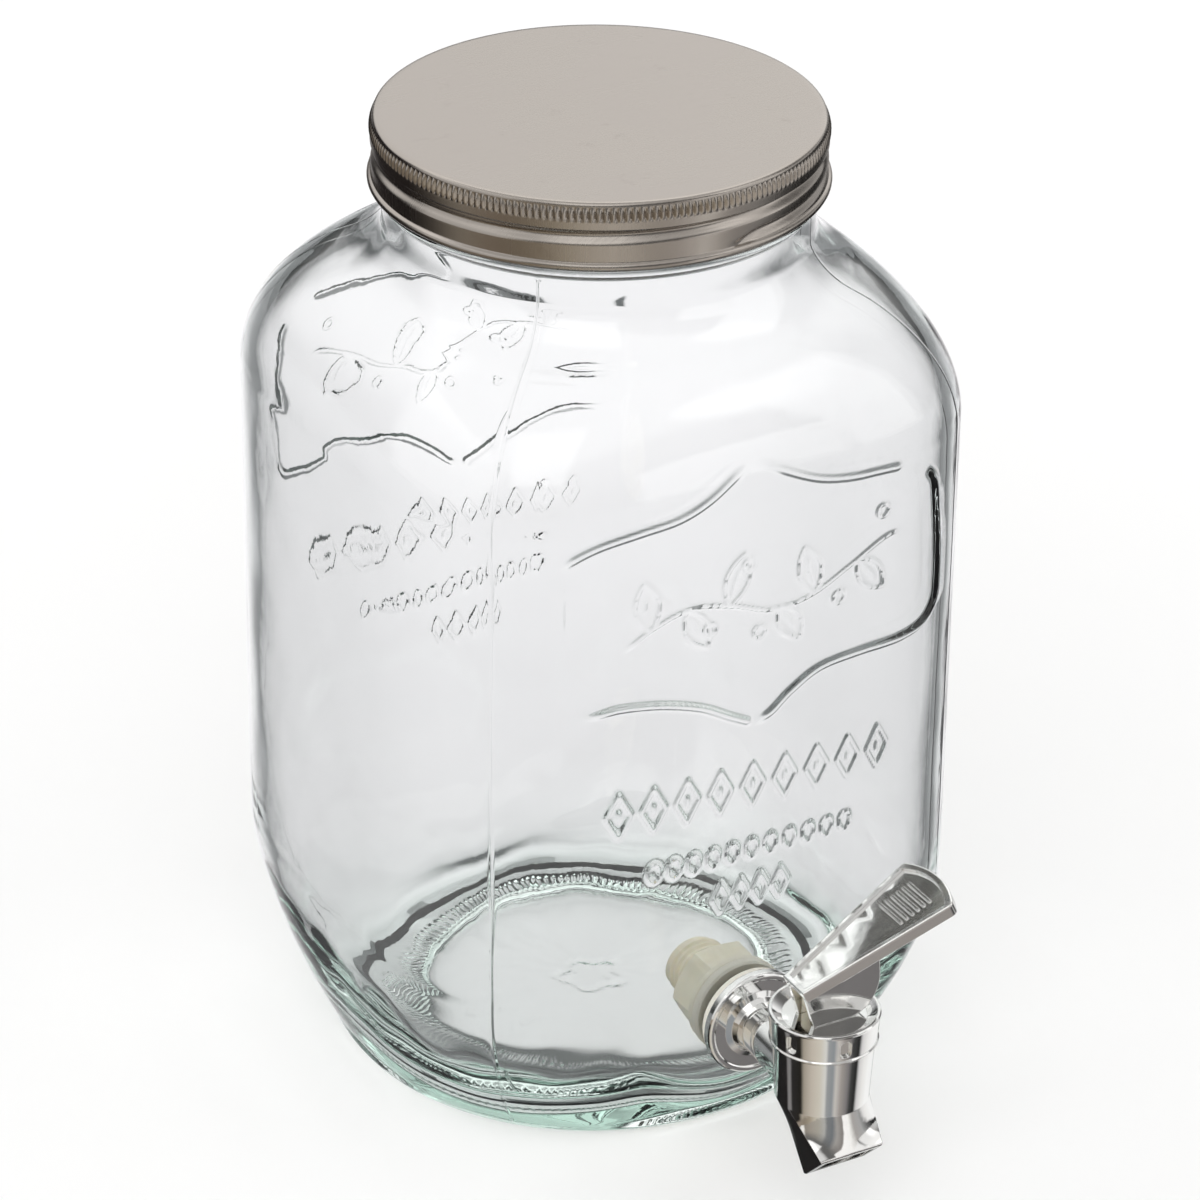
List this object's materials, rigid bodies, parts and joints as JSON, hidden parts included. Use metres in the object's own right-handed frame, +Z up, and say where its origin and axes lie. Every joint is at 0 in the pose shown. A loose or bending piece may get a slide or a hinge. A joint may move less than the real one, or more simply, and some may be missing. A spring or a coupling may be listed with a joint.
{
  "type": "glass beverage dispenser",
  "caption": "Rounded-square clear glass drink jar with a knurled metal screw lid and a plated lever tap clamped through the lower front wall.",
  "frame": {"origin": "centre of the base ring, on the table plane", "axes": "+Z up along the jar's axis, -Y out of the front face where the tap is, +X to the right seen from the front"},
  "size_m": [0.1584, 0.2091, 0.252],
  "materials": {
    "clear_glass": "clear soda-lime glass, slightly green where thick",
    "lid_metal": "satin warm grey",
    "lid_seal": "matt sealing compound",
    "plated": "bright plating on plastic",
    "cream_plastic": "natural moulded plastic",
    "silicone": "translucent white silicone",
    "steel": "stainless"
  },
  "bodies": {
    "jar": {"glass_jar": "clear_glass", "tap_body": "plated", "inlet_shank": "cream_plastic", "outer_washer": "silicone", "inner_washer": "silicone", "backing_washer": "cream_plastic", "lock_nut": "cream_plastic", "bonnet_collar": "plated", "bonnet_gasket": "silicone"},
    "lid_seal": {"lid_liner": "lid_seal"},
    "lid": {"lid_shell": "lid_metal"},
    "plug": {"valve_plug": "silicone", "spring_washer": "steel", "return_spring": "steel"},
    "stem": {"valve_stem": "cream_plastic", "stem_o_ring": "silicone", "pivot_pin": "steel"},
    "lever_arm": {"lever": "plated"}
  },
  "joints": [
    {"name": "lid_rise", "type": "slide", "parent": "jar", "child": "lid_seal", "axis": [0, 0, 1], "range_m": [0, 0.01785]},
    {"name": "lid_turn", "type": "hinge", "parent": "lid_seal", "child": "lid", "pos_m": [0, 0, 0.25], "axis": [0, 0, 1], "range_deg": [0, 1260]},
    {"name": "stem_lift", "type": "slide", "parent": "jar", "child": "plug", "axis": [0, 0, 1], "range_m": [0, 0.0031], "deforming": ["return_spring"]},
    {"name": "lever_swivel", "type": "hinge", "parent": "plug", "child": "stem", "pos_m": [0, -0.115, 0.06], "axis": [0, 0, 1], "range_deg": [-225, 45]},
    {"name": "lever_tilt", "type": "hinge", "parent": "stem", "child": "lever_arm", "pos_m": [0, -0.115, 0.06365], "axis": [0, 1, 0], "range_deg": [0, 35]}
  ],
  "couplings": [
    {"joint": "lid_rise", "follows": "lid_turn", "m_per_rad": 0.00080851},
    {"joint": "stem_lift", "follows": "lever_tilt", "m_per_rad": 0.005}
  ]
}
